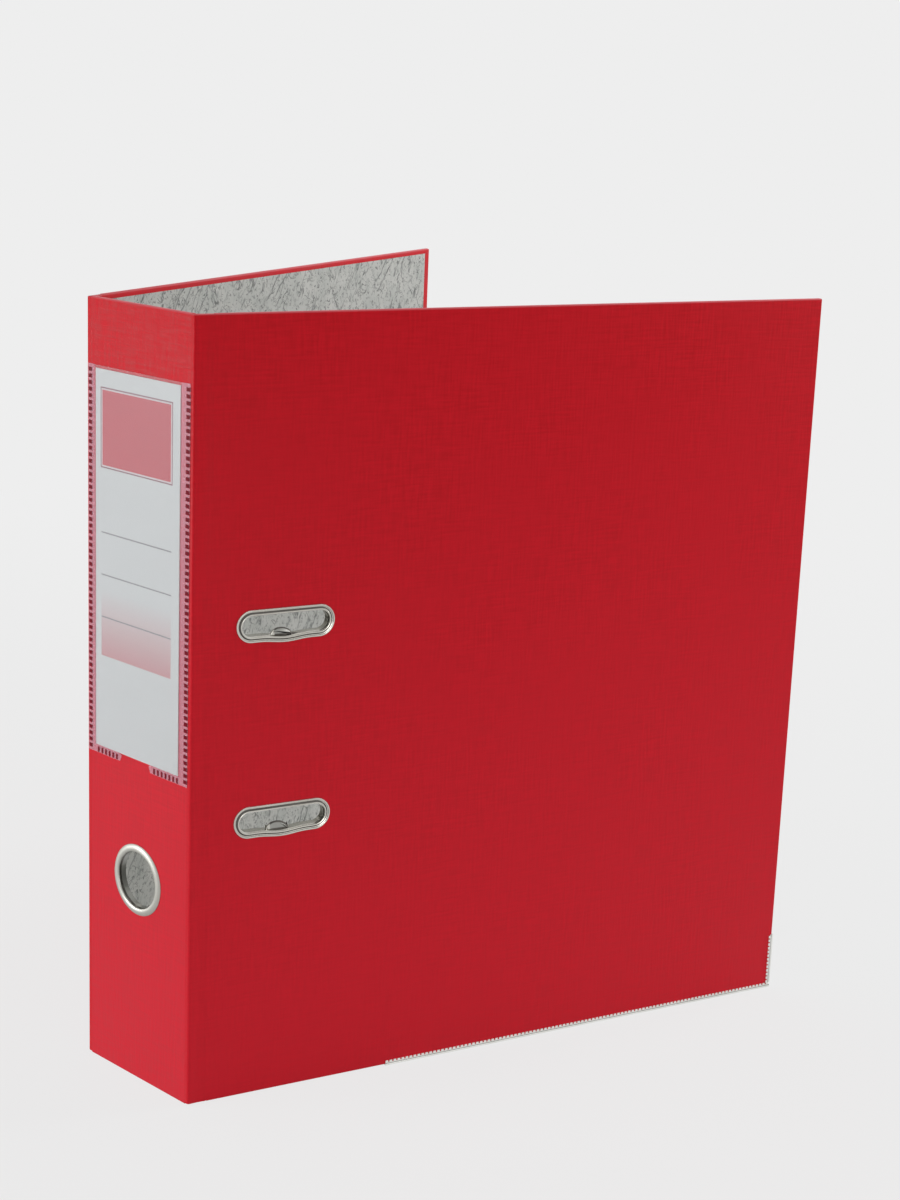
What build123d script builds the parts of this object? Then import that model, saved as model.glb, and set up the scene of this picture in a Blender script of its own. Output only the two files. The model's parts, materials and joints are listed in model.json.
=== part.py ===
from build123d import *
from math import cos, radians, sin
import os

# A lever arch file for A4 paper, standing on end with both covers a little open.
# Frame: +Z up, +X from the spine to the free edges, front cover on -Y, back cover on +Y.
# Origin: the middle of the spine's foot. Lengths are in millimetres, angles in degrees.
# A place on a cover is given by three lengths: along the cover from its hinge line, depth
# inwards from its outer face, and height above the floor.

# ---- Case -------------------------------------------------------------------
file_height = 318.0
hinge_spacing = 64.2  # from one hinge line to the other
cover_reach = 286.8  # from the hinge line to the free edge
front_rest_angle = 17.0  # how far the front cover stands open past square to the spine
back_rest_angle = 18.2  # and the back cover
board_thickness = 2.0
film_thickness = 0.25
fold_gap = 0.12  # between the spine's end and the rolled hinge film
hinge_width = 7.0  # bare film between the fold and the cover's board
hinge_film_thickness = 1.0
hinge_film_inset = 0.35
hinge_notch = 1.0  # the hinge film stops this far short of the cover's top and bottom
lining_margin = 2.2  # red turn-in left showing at top and bottom
lining_edge_margin = 4.7  # red turn-in left showing at the free edge

panel_thickness = board_thickness + 2 * film_thickness
bead_radius = panel_thickness / 2
spine_width = hinge_spacing - 2 * (bead_radius + fold_gap)

# ---- Metal edge guards --------------------------------------------------------
guard_start = 88.0  # along the cover's foot
guard_rise = 26.0  # up the free edge
guard_leg = 2.2
guard_thickness = 0.3
panel_height = file_height - guard_thickness  # the covers stand on their guards

# ---- Finger ring in the spine ---------------------------------------------------
finger_height = 86.9
finger_hole_radius = 11.8
finger_tube_wall = 0.6
finger_flange_radius = 14.9
finger_flange_proud = 0.9
backing_thickness = 0.6
backing_margin = 2.4
seat_gap = 0.05  # between a pressed-in metal piece and the hole it sits in

# ---- Label pocket and label -------------------------------------------------------
pocket_width = 60.8
pocket_foot = 134.4
pocket_length = 157.6
pocket_film = 0.25
pocket_gap = 0.45  # space between the pocket's film and the spine
weld_width = 3.2
thumb_notch_half_width = 9.8
thumb_notch_taper = 1.5
thumb_notch_depth = 3.4
thumb_notch_side_step = 1.2  # the notch is cut this far nearer to the back cover
label_thickness = 0.25
label_gap = 0.2  # between the label and the weld it rests against
label_width = 52.4
label_length = 153.0

# ---- Slots in the front cover -------------------------------------------------------
hole_spacing = 80.0  # the standard distance between the holes in the paper
arch_height = 157.2  # the point midway between the arches
slot_along = 38.1
slot_length = 36.6
slot_width = 8.0
slot_bulge = 1.1
slot_bulge_half_length = 9.0
slot_bulge_centre = 2.0
slot_tube_wall = 0.5
slot_rim_width = 2.7
slot_step_width = 1.3
slot_rim_thickness = 0.5
slot_step_thickness = 0.9
nose_width = 8.5
nose_height = 2.5
nose_thickness = 0.6
nose_side_angle = 70.0
nose_side_step = 1.5  # the nose stands this far nearer to the spine than the slot's middle

# ---- Lever arch mechanism, on the inside of the back cover ------------------------------
arch_span = 40.0  # from the shaft to the posts
wire_diameter = 4.0
crown_radius = 19.8
crown_proud = 4.0  # how far a closed arch stands out of the closed front cover
shaft_lift = 2.7  # shaft centre above the base plate
crank_reach = 19.0
crank_half_width = 15.0
crank_bend = 4.0
foot_bend = 5.0
plate_thickness = 1.0
plate_edge = 10.0  # the base plate reaches this far past the shaft
plate_far_edge = 6.0  # and this far past the posts
plate_length = 116.0
plate_corner = 4.0
plate_bead_width = 1.6
plate_bead_height = 0.8
bearing_length = 8.0
bearing_offset = 27.0
bearing_wall = 1.2
running_gap = 0.06
rivet_shank_radius = 1.6
rivet_head_radius = 3.6
rivet_head_height = 1.2
rivet_inner_radius = 2.6
rivet_inner_height = 0.9
rivet_end_margin = 6.0
rivet_side_margin = 5.0

# ---- Posts -----------------------------------------------------------------------
post_radius = 2.4
post_foot_radius = 2.6
post_foot_length = 4.5
post_collar_radius = 4.0
post_collar_height = 2.0
post_top_depth = 42.0
countersink_radius = 2.2
countersink_depth = 1.6
countersink_angle = 50.0
tip_length = 1.8
tip_angle = 40.0
tip_lift = 0.8  # the wire's cone starts this far above the post's top

# ---- Lever, roller and pins ----------------------------------------------------------
roller_radius = 3.5
roller_length = 16.0
roller_gap = 0.4  # between the roller and the crank
roller_back_step = 0.5
pivot_along_step = 5.46  # from the roller's centre to the lever's pivot
pivot_depth_step = 4.8
lever_width = 20.0
lever_sheet = 1.2
lever_head_radius = 3.2
lever_roller_boss = 3.0
lever_top_rise = 4.0
lever_tail = 4.4
lever_knee = 9.0
lever_tip_gap = 3.6  # from the hinge line to the finger tip of the closed lever
lever_tip_flat = 7.5
lever_tip_rise = 3.0
lever_tip_depth = 15.5
lever_bend = 3.0
pivot_pin_radius = 1.5
roller_pin_radius = 1.25
pin_gap = 0.03
ear_gap = 0.4
ear_thickness = 1.2
ear_radius = 3.4
ear_foot_start = 1.0
ear_foot_end = 6.0
pin_end = 0.6

# ---- Hold-down bar ---------------------------------------------------------------
bar_width = 12.0
bar_length = 104.0
bar_thickness = 1.2
bar_lip = 3.0
bush_radius = 4.0
bush_flange_radius = 5.2
bush_flange_height = 0.8
bush_top_height = 0.6
bush_gap = 0.08
bar_rest_gap = 0.1

# ---- Places worked out from the sizes above ------------------------------------------
wire_radius = wire_diameter / 2
plate_top = panel_thickness + plate_thickness
shaft_along = slot_along - arch_span / 2
shaft_depth = plate_top + shaft_lift
post_along = shaft_along + arch_span
closed_width = hinge_spacing + panel_thickness
crown_depth = closed_width + crown_proud - wire_radius
crank_along = shaft_along + crank_reach
roller_along = crank_along - roller_back_step
roller_depth = shaft_depth + wire_radius + roller_radius + roller_gap
pivot_along = roller_along + pivot_along_step
pivot_depth = roller_depth + pivot_depth_step
lever_top = pivot_depth + lever_top_rise
collar_top = plate_top + post_collar_height
post_foot_top = collar_top + post_foot_length
bush_foot = collar_top + bar_rest_gap
bar_foot = bush_foot + bush_flange_height
bush_top = bar_foot + bar_thickness + bush_top_height
upper_hole = arch_height + hole_spacing / 2
lower_hole = arch_height - hole_spacing / 2
hole_heights = {"upper": upper_hole, "lower": lower_hole}
FRONT = -1
BACK = 1
UP = (0, 0, 1)
rest_angles = {FRONT: front_rest_angle, BACK: back_rest_angle}


def along_direction(side):
    """Unit vector along a cover, from its hinge line to its free edge."""
    angle = radians(rest_angles[side])
    return Vector(cos(angle), side * sin(angle), 0)


def inward_direction(side):
    """Unit vector square to a cover, pointing into the file."""
    angle = radians(rest_angles[side])
    return Vector(sin(angle), -side * cos(angle), 0)


def cover_point(side, along, depth, height):
    """A place on a cover in the file's own frame."""
    hinge = Vector(0, side * hinge_spacing / 2, height)
    return hinge + along_direction(side) * along + inward_direction(side) * (depth - bead_radius)


def cover_plan(side, height):
    """Level plane whose local X is along and local Y is depth."""
    return Plane(cover_point(side, 0, 0, height), along_direction(side), (0, 0, -side))


def cover_face(side, depth):
    """Upright plane parallel to a cover, whose local X is along and local Y is height."""
    normal = inward_direction(side) * side
    return Plane(cover_point(side, 0, depth, 0), along_direction(side), normal)


def spine_face(depth):
    """Upright plane parallel to the spine, whose local X is file Y and local Y is height."""
    return Plane((depth - bead_radius, 0, 0), (0, 1, 0), (1, 0, 0))


def slot_outline(height, margin, mode=Mode.ADD):
    """Round-ended slot with a shallow bulge in its lower side, grown by margin all round."""
    with Locations((slot_along, height)):
        SlotOverall(slot_length + 2 * margin, slot_width + 2 * margin, mode=mode)
    with Locations((slot_along, height - slot_bulge_centre)):
        bulge_height = slot_width / 2 - slot_bulge_centre + slot_bulge
        Ellipse(slot_bulge_half_length + margin, bulge_height + margin, mode=mode)


def save(piece, name):
    """Label a finished piece and write its STEP file."""
    piece.part.label = name
    export_step(piece.part, f"parts/{name}.step")


os.makedirs("parts", exist_ok=True)

# ---- Spine: board, red film and marbled lining, with the finger hole ---------------------
finger_seat_radius = finger_hole_radius + finger_tube_wall + seat_gap

with BuildPart() as finger_cut:
    with BuildSketch(spine_face(-panel_thickness)):
        with Locations((0, finger_height)):
            Circle(finger_seat_radius)
    extrude(amount=3 * panel_thickness)

with BuildPart() as spine_board:
    with BuildSketch(Plane.XY.offset(film_thickness)):
        Rectangle(board_thickness, spine_width - 2 * film_thickness)
    extrude(amount=file_height - 2 * film_thickness)
    add(finger_cut.part, mode=Mode.SUBTRACT)

with BuildPart() as spine_lining:
    with BuildSketch(Plane.XY.offset(lining_margin)):
        with Locations((bead_radius - film_thickness / 2, 0)):
            Rectangle(film_thickness, spine_width)
    extrude(amount=file_height - 2 * lining_margin)
    add(finger_cut.part, mode=Mode.SUBTRACT)

with BuildPart() as spine_wrap:
    with BuildSketch(Plane.XY):
        Rectangle(panel_thickness, spine_width)
    extrude(amount=file_height)
    with BuildSketch(Plane.XY.offset(film_thickness)):
        Rectangle(board_thickness, spine_width - 2 * film_thickness)
    extrude(amount=file_height - 2 * film_thickness, mode=Mode.SUBTRACT)
    with BuildSketch(Plane.XY.offset(lining_margin)):
        with Locations((bead_radius - film_thickness / 2, 0)):
            Rectangle(film_thickness, spine_width)
    extrude(amount=file_height - 2 * lining_margin, mode=Mode.SUBTRACT)
    add(finger_cut.part, mode=Mode.SUBTRACT)

save(spine_board, "spine_board")
save(spine_lining, "spine_lining")
save(spine_wrap, "spine_wrap")

# ---- Finger ring: a turned flange and tube, with a flat ring behind the spine -------------
finger_axis = Axis((0, 0, finger_height), (1, 0, 0))
finger_section = Plane((-bead_radius, 0, finger_height), (1, 0, 0), (0, -1, 0))
finger_tube_radius = finger_hole_radius + finger_tube_wall
finger_tube_end = panel_thickness + backing_thickness

with BuildPart() as finger_ring:
    with BuildSketch(finger_section):
        with BuildLine():
            lip = (-finger_flange_proud, finger_hole_radius + finger_tube_wall)
            crest = (-0.8 * finger_flange_proud, (lip[1] + finger_flange_radius) / 2)
            Polyline(
                (-finger_flange_proud + finger_tube_wall, finger_hole_radius),
                (finger_tube_end, finger_hole_radius),
                (finger_tube_end, finger_tube_radius),
                (0, finger_tube_radius),
                (0, finger_flange_radius),
            )
            ThreePointArc((0, finger_flange_radius), crest, lip)
            RadiusArc(
                (-finger_flange_proud + finger_tube_wall, finger_hole_radius), lip, finger_tube_wall
            )
        make_face()
    revolve(axis=finger_axis)

with BuildPart() as finger_ring_backing:
    with BuildSketch(spine_face(panel_thickness)):
        with Locations((0, finger_height)):
            Circle(finger_seat_radius + backing_margin)
            Circle(finger_seat_radius, mode=Mode.SUBTRACT)
    extrude(amount=backing_thickness)

save(finger_ring, "finger_ring")
save(finger_ring_backing, "finger_ring_backing")

# ---- Label pocket: clear film welded to the spine on three sides, open at the top ---------
with BuildPart() as label_pocket:
    with BuildSketch(spine_face(-pocket_film - pocket_gap)):
        with Locations((0, pocket_foot + pocket_length / 2)):
            Rectangle(pocket_width, pocket_length)
    extrude(amount=pocket_film + pocket_gap)
    with BuildSketch(spine_face(-pocket_gap)):
        with Locations((0, pocket_foot + weld_width + pocket_length / 2)):
            Rectangle(pocket_width - 2 * weld_width, pocket_length)
    extrude(amount=pocket_gap, mode=Mode.SUBTRACT)
    with BuildSketch(spine_face(-pocket_film - pocket_gap)):
        notch_top = pocket_foot + thumb_notch_depth
        notch_top_half = thumb_notch_half_width - thumb_notch_taper
        with BuildLine():
            Polyline(
                (thumb_notch_side_step - thumb_notch_half_width, pocket_foot),
                (thumb_notch_side_step - notch_top_half, notch_top),
                (thumb_notch_side_step + notch_top_half, notch_top),
                (thumb_notch_side_step + thumb_notch_half_width, pocket_foot),
                close=True,
            )
        make_face()
    extrude(amount=pocket_film + pocket_gap, mode=Mode.SUBTRACT)

label_back_gap = (pocket_gap - label_thickness) / 2
label_foot = pocket_foot + weld_width + label_back_gap
label_side = pocket_width / 2 - weld_width - label_gap - label_width / 2

with BuildPart() as spine_label:
    with BuildSketch(spine_face(-label_back_gap - label_thickness)):
        with Locations((label_side, label_foot + label_length / 2)):
            Rectangle(label_width, label_length)
    extrude(amount=label_thickness)

save(label_pocket, "label_pocket")
save(spine_label, "spine_label")

# ---- Holes through the covers -----------------------------------------------------------
with BuildPart() as slot_cuts:
    for height in hole_heights.values():
        with BuildSketch(cover_face(FRONT, -panel_thickness)):
            slot_outline(height, slot_tube_wall + seat_gap)
        extrude(amount=3 * panel_thickness, dir=inward_direction(FRONT))

plate_low_along = shaft_along - plate_edge
plate_high_along = post_along + plate_far_edge
rivet_places = [
    (along, arch_height + end * (plate_length / 2 - rivet_end_margin))
    for along in (plate_low_along + rivet_side_margin, plate_high_along - rivet_side_margin)
    for end in (-1, 1)
]

with BuildPart() as rivet_cuts:
    with BuildSketch(cover_face(BACK, -panel_thickness)):
        with Locations(*rivet_places):
            Circle(rivet_shank_radius + seat_gap)
    extrude(amount=4 * panel_thickness)

# ---- Covers: board, red film, marbled lining, hinge film and metal edge guard -------------
board_start = hinge_width + film_thickness
board_end = cover_reach - film_thickness
lining_end = cover_reach - lining_edge_margin
cover_foot = guard_thickness
cuts = {FRONT: slot_cuts, BACK: rivet_cuts}
names = {FRONT: "front", BACK: "back"}

for side in (FRONT, BACK):
    with BuildPart() as cover_board:
        with BuildSketch(cover_plan(side, cover_foot + film_thickness)):
            with Locations(((board_start + board_end) / 2, panel_thickness / 2)):
                Rectangle(board_end - board_start, board_thickness)
        extrude(amount=panel_height - 2 * film_thickness, dir=UP)
        add(cuts[side].part, mode=Mode.SUBTRACT)

    with BuildPart() as cover_lining:
        with BuildSketch(cover_plan(side, cover_foot + lining_margin)):
            with Locations(((hinge_width + lining_end) / 2, panel_thickness - film_thickness / 2)):
                Rectangle(lining_end - hinge_width, film_thickness)
        extrude(amount=panel_height - 2 * lining_margin, dir=UP)
        add(cuts[side].part, mode=Mode.SUBTRACT)

    with BuildPart() as cover_wrap:
        with BuildSketch(cover_plan(side, cover_foot)):
            with Locations(((hinge_width + cover_reach) / 2, panel_thickness / 2)):
                Rectangle(cover_reach - hinge_width, panel_thickness)
        extrude(amount=panel_height, dir=UP)
        with BuildSketch(cover_plan(side, cover_foot + film_thickness)):
            with Locations(((board_start + board_end) / 2, panel_thickness / 2)):
                Rectangle(board_end - board_start, board_thickness)
        extrude(amount=panel_height - 2 * film_thickness, dir=UP, mode=Mode.SUBTRACT)
        with BuildSketch(cover_plan(side, cover_foot + lining_margin)):
            with Locations(((hinge_width + lining_end) / 2, panel_thickness - film_thickness / 2)):
                Rectangle(lining_end - hinge_width, film_thickness)
        extrude(amount=panel_height - 2 * lining_margin, dir=UP, mode=Mode.SUBTRACT)
        add(cuts[side].part, mode=Mode.SUBTRACT)

    with BuildPart() as hinge_film:
        with BuildSketch(cover_plan(side, cover_foot + hinge_notch)):
            with Locations((0, bead_radius)):
                Circle(bead_radius)
            with Locations((hinge_width / 2, hinge_film_inset + hinge_film_thickness / 2)):
                Rectangle(hinge_width, hinge_film_thickness)
        extrude(amount=panel_height - 2 * hinge_notch, dir=UP)

    with BuildPart() as edge_guard:
        guard_depth = panel_thickness + 2 * guard_thickness
        guard_end = cover_reach + guard_thickness
        with BuildSketch(cover_plan(side, 0)):
            with Locations(((guard_start + guard_end) / 2, panel_thickness / 2)):
                Rectangle(guard_end - guard_start, guard_depth)
        extrude(amount=guard_leg, dir=UP)
        with BuildSketch(cover_plan(side, 0)):
            with Locations((guard_end - guard_leg / 2, panel_thickness / 2)):
                Rectangle(guard_leg, guard_depth)
        extrude(amount=guard_rise, dir=UP)
        with BuildSketch(cover_plan(side, cover_foot)):
            with Locations((cover_reach / 2, panel_thickness / 2)):
                Rectangle(cover_reach, panel_thickness)
        extrude(amount=panel_height, dir=UP, mode=Mode.SUBTRACT)

    save(cover_board, f"{names[side]}_board")
    save(cover_lining, f"{names[side]}_lining")
    save(cover_wrap, f"{names[side]}_wrap")
    save(hinge_film, f"{names[side]}_hinge_film")
    save(edge_guard, f"{names[side]}_edge_guard")

# ---- Slot rims: pressed steel ovals with a locking nose, and their inside plates -----------
for place, height in hole_heights.items():
    with BuildPart() as slot_rim:
        inward = inward_direction(FRONT)
        with BuildSketch(cover_face(FRONT, -slot_rim_thickness)):
            slot_outline(height, slot_rim_width)
            slot_outline(height, 0, mode=Mode.SUBTRACT)
        extrude(amount=slot_rim_thickness, dir=inward)
        with BuildSketch(cover_face(FRONT, -slot_step_thickness)):
            slot_outline(height, slot_step_width)
            slot_outline(height, 0, mode=Mode.SUBTRACT)
        extrude(amount=slot_step_thickness, dir=inward)
        with BuildSketch(cover_face(FRONT, 0)):
            slot_outline(height, slot_tube_wall)
            slot_outline(height, 0, mode=Mode.SUBTRACT)
        extrude(amount=panel_thickness + backing_thickness, dir=inward)
        nose_foot = height - slot_width / 2 - slot_bulge
        with BuildSketch(cover_face(FRONT, panel_thickness - nose_thickness)):
            slot_outline(height, slot_tube_wall / 2)
            with Locations((slot_along - nose_side_step, nose_foot)):
                Trapezoid(nose_width, 2 * nose_height, nose_side_angle, mode=Mode.INTERSECT)
        extrude(amount=nose_thickness, dir=inward)

    with BuildPart() as slot_backing:
        with BuildSketch(cover_face(FRONT, panel_thickness)):
            slot_outline(height, slot_rim_width)
            slot_outline(height, slot_tube_wall + seat_gap, mode=Mode.SUBTRACT)
        extrude(amount=backing_thickness, dir=inward_direction(FRONT))

    save(slot_rim, f"slot_rim_{place}")
    save(slot_backing, f"slot_backing_{place}")

# ---- Base plate: pressed steel with curled bearings for the wire and ears for the lever ------
plate_middle = (plate_low_along + plate_high_along) / 2
plate_width = plate_high_along - plate_low_along
bearing_radius = wire_radius + running_gap + bearing_wall
ear_inner = lever_width / 2 + ear_gap

with BuildPart() as base_plate:
    with BuildSketch(cover_face(BACK, panel_thickness)):
        with Locations((plate_middle, arch_height)):
            RectangleRounded(plate_width, plate_length, plate_corner)
    extrude(amount=plate_thickness)
    with BuildSketch(cover_face(BACK, plate_top)):
        with Locations((plate_middle, arch_height)):
            RectangleRounded(plate_width, plate_length, plate_corner)
            inner_width = plate_width - 2 * plate_bead_width
            inner_length = plate_length - 2 * plate_bead_width
            inner_corner = plate_corner - plate_bead_width
            RectangleRounded(inner_width, inner_length, inner_corner, mode=Mode.SUBTRACT)
    extrude(amount=plate_bead_height)
    for end in (-1, 1):
        bearing_foot = arch_height + end * bearing_offset - bearing_length / 2
        with BuildSketch(cover_plan(BACK, bearing_foot)):
            with Locations((shaft_along, shaft_depth)):
                Circle(bearing_radius)
            with Locations((shaft_along, (plate_top + shaft_depth) / 2)):
                Rectangle(2 * bearing_radius, shaft_lift)
            with Locations((shaft_along, shaft_depth)):
                Circle(wire_radius + running_gap, mode=Mode.SUBTRACT)
        extrude(amount=bearing_length, dir=UP)
        ear_foot = arch_height + end * (ear_inner + ear_thickness / 2) - ear_thickness / 2
        with BuildSketch(cover_plan(BACK, ear_foot)):
            with Locations((pivot_along, pivot_depth)):
                Circle(ear_radius)
            foot_middle = pivot_along + (ear_foot_end - ear_foot_start) / 2
            with Locations((foot_middle, plate_top)):
                Rectangle(ear_foot_start + ear_foot_end, plate_thickness)
            make_hull()
            with Locations((pivot_along, pivot_depth)):
                Circle(pivot_pin_radius + pin_gap, mode=Mode.SUBTRACT)
        extrude(amount=ear_thickness, dir=UP)
    with BuildSketch(cover_face(BACK, 0)):
        with Locations(*rivet_places):
            Circle(rivet_shank_radius + seat_gap)
    extrude(amount=2 * plate_top, mode=Mode.SUBTRACT)

with BuildPart() as base_rivets:
    with BuildSketch(cover_face(BACK, -rivet_head_height)):
        with Locations(*rivet_places):
            Circle(rivet_shank_radius)
    extrude(amount=rivet_head_height + plate_top + rivet_inner_height)
    with BuildSketch(cover_face(BACK, 0)):
        with Locations(*rivet_places):
            Circle(rivet_head_radius)
    extrude(amount=-rivet_head_height, taper=40)
    with BuildSketch(cover_face(BACK, plate_top)):
        with Locations(*rivet_places):
            Circle(rivet_inner_radius)
    extrude(amount=rivet_inner_height, taper=30)

save(base_plate, "base_plate")
save(base_rivets, "base_rivets")

# ---- Posts: turned pins with a collar at the foot and a countersunk top ----------------------
for place, height in hole_heights.items():
    with BuildPart() as post:
        with BuildSketch(cover_face(BACK, plate_top)):
            with Locations((post_along, height)):
                Circle(post_collar_radius)
        extrude(amount=post_collar_height)
        with BuildSketch(cover_face(BACK, collar_top)):
            with Locations((post_along, height)):
                Circle(post_foot_radius)
        extrude(amount=post_foot_length)
        with BuildSketch(cover_face(BACK, post_foot_top)):
            with Locations((post_along, height)):
                Circle(post_radius)
        extrude(amount=post_top_depth - post_foot_top)
        with BuildSketch(cover_face(BACK, post_top_depth)):
            with Locations((post_along, height)):
                Circle(countersink_radius)
        extrude(amount=-countersink_depth, taper=countersink_angle, mode=Mode.SUBTRACT)

    save(post, f"post_{place}")

# ---- Arch wire: both arches, the shaft between them and its crank are one bent wire -----------
tip_depth = post_top_depth + tip_lift


def wire_point(along, depth, end_offset):
    """A point of the wire's centre line, its height counted from midway between the arches."""
    return cover_point(BACK, along, depth, arch_height + end_offset)


with BuildPart() as arch_wire:
    reach = hole_spacing / 2
    with BuildLine() as wire_line:
        FilletPolyline(
            wire_point(post_along, tip_depth, reach),
            wire_point(post_along, crown_depth, reach),
            wire_point(shaft_along, crown_depth, reach),
            wire_point(shaft_along, shaft_depth, reach),
            wire_point(shaft_along, shaft_depth, crank_half_width),
            wire_point(crank_along, shaft_depth, crank_half_width),
            wire_point(crank_along, shaft_depth, -crank_half_width),
            wire_point(shaft_along, shaft_depth, -crank_half_width),
            wire_point(shaft_along, shaft_depth, -reach),
            wire_point(shaft_along, crown_depth, -reach),
            wire_point(post_along, crown_depth, -reach),
            wire_point(post_along, tip_depth, -reach),
            radius=[
                crown_radius,
                crown_radius,
                foot_bend,
                crank_bend,
                crank_bend,
                crank_bend,
                crank_bend,
                foot_bend,
                crown_radius,
                crown_radius,
            ],
        )
    with BuildSketch(wire_line.line ^ 0):
        Circle(wire_radius)
    sweep(path=wire_line.line)
    for height in hole_heights.values():
        with BuildSketch(cover_face(BACK, tip_depth)):
            with Locations((post_along, height)):
                Circle(wire_radius)
        extrude(amount=-tip_length, taper=tip_angle)

save(arch_wire, "arch_wire")

# ---- Lever: bent steel strip with two cheeks that hold the pivot and the roller --------------
cheek_inner = lever_width / 2 - lever_sheet
strip_foot = arch_height - lever_width / 2

with BuildPart() as lever_arm:
    with BuildSketch(cover_plan(BACK, strip_foot)):
        with BuildLine():
            FilletPolyline(
                (pivot_along + lever_tail, lever_top),
                (pivot_along - lever_knee, lever_top),
                (lever_tip_gap + lever_tip_flat + lever_tip_rise, lever_tip_depth),
                (lever_tip_gap + lever_tip_rise, lever_tip_depth),
                (lever_tip_gap, lever_tip_depth + lever_tip_rise),
                radius=lever_bend,
            )
        trace(line_width=lever_sheet)
    extrude(amount=lever_width, dir=UP)
    for cheek_foot in (strip_foot, arch_height + cheek_inner):
        with BuildSketch(cover_plan(BACK, cheek_foot)):
            with Locations((pivot_along, pivot_depth)):
                Circle(lever_head_radius)
            with Locations((roller_along, roller_depth)):
                Circle(lever_roller_boss)
            with Locations(
                (pivot_along + lever_tail - lever_sheet / 2, lever_top),
                (pivot_along - lever_knee, lever_top),
            ):
                Circle(lever_sheet / 2)
            make_hull()
            with Locations((pivot_along, pivot_depth)):
                Circle(pivot_pin_radius + running_gap, mode=Mode.SUBTRACT)
            with Locations((roller_along, roller_depth)):
                Circle(roller_pin_radius + pin_gap, mode=Mode.SUBTRACT)
        extrude(amount=lever_sheet, dir=UP)

with BuildPart() as lever_pivot_pin:
    half_pin = ear_inner + ear_thickness + pin_end
    with BuildSketch(cover_plan(BACK, arch_height - half_pin)):
        with Locations((pivot_along, pivot_depth)):
            Circle(pivot_pin_radius)
    extrude(amount=2 * half_pin, dir=UP)

with BuildPart() as roller_pin:
    with BuildSketch(cover_plan(BACK, strip_foot)):
        with Locations((roller_along, roller_depth)):
            Circle(roller_pin_radius)
    extrude(amount=lever_width, dir=UP)

with BuildPart() as lever_roller:
    with BuildSketch(cover_plan(BACK, arch_height - roller_length / 2)):
        with Locations((roller_along, roller_depth)):
            Circle(roller_radius)
            Circle(roller_pin_radius + running_gap, mode=Mode.SUBTRACT)
    extrude(amount=roller_length, dir=UP)

save(lever_arm, "lever_arm")
save(lever_pivot_pin, "lever_pivot_pin")
save(roller_pin, "roller_pin")
save(lever_roller, "lever_roller")

# ---- Hold-down bar: steel strip that slides up the posts on two plastic bushes ---------------
with BuildPart() as hold_down_bar:
    with BuildSketch(cover_face(BACK, bar_foot)):
        with Locations((post_along, arch_height)):
            RectangleRounded(bar_width, bar_length, bar_width / 2 - 0.5)
        with Locations((post_along, upper_hole), (post_along, lower_hole)):
            Circle(bush_radius + seat_gap, mode=Mode.SUBTRACT)
    extrude(amount=bar_thickness)
    with BuildSketch(cover_face(BACK, bar_foot)):
        lip_along = post_along + bar_width / 2 - bar_thickness / 2
        with Locations((lip_along, arch_height)):
            Rectangle(bar_thickness, bar_length - 2 * bar_width)
    extrude(amount=bar_lip)

for place, height in hole_heights.items():
    with BuildPart() as bar_bush:
        with BuildSketch(cover_face(BACK, bush_foot)):
            with Locations((post_along, height)):
                Circle(bush_flange_radius)
        extrude(amount=bush_flange_height)
        with BuildSketch(cover_face(BACK, bar_foot)):
            with Locations((post_along, height)):
                Circle(bush_radius)
        extrude(amount=bush_top - bar_foot)
        with BuildSketch(cover_face(BACK, bush_foot)):
            with Locations((post_along, height)):
                Circle(post_foot_radius + bush_gap)
        extrude(amount=bush_top - bush_foot, mode=Mode.SUBTRACT)

    save(bar_bush, f"bar_bush_{place}")

save(hold_down_bar, "hold_down_bar")
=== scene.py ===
import json
from math import cos, pi, radians, sin, tau

import bmesh
import bpy
from mathutils import Matrix, Vector


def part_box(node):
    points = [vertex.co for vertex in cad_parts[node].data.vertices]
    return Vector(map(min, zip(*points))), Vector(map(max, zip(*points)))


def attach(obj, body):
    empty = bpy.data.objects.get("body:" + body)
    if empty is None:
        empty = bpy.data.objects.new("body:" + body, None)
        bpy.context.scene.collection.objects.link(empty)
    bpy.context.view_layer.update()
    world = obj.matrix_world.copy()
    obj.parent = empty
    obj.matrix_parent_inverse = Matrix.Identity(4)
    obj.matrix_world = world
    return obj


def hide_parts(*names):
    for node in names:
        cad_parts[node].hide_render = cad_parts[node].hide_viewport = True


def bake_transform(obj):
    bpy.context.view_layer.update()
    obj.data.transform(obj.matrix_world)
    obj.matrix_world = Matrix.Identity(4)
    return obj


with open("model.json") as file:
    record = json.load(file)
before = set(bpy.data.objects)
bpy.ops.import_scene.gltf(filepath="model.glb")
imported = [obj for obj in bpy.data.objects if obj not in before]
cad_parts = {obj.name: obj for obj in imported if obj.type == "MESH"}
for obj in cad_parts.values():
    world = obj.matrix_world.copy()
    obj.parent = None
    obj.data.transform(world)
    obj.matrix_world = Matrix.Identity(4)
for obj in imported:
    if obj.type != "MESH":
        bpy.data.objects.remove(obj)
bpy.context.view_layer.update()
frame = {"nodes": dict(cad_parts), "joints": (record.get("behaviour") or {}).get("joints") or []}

# ---- Board cores -------------------------------------------------------------------------
# The spine and the two covers are cut from grey board, pressed from waste paper. Film is
# glued round them outside and printed paper inside, so that only cut holes bare the board.
mm = 0.001


def colour(code):
    """Linear RGBA from an sRGB hex code."""
    channels = [int(code[i : i + 2], 16) / 255 for i in (0, 2, 4)]
    return [c / 12.92 if c <= 0.04045 else ((c + 0.055) / 1.055) ** 2.4 for c in channels] + [1]


def feed(material, node, inputs):
    """Gives each named input of a node its value, or links the output given for it."""
    for name, value in inputs.items():
        if isinstance(value, bpy.types.NodeSocket):
            material.node_tree.links.new(value, node.inputs[name])
        else:
            node.inputs[name].default_value = value
    return node


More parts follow.
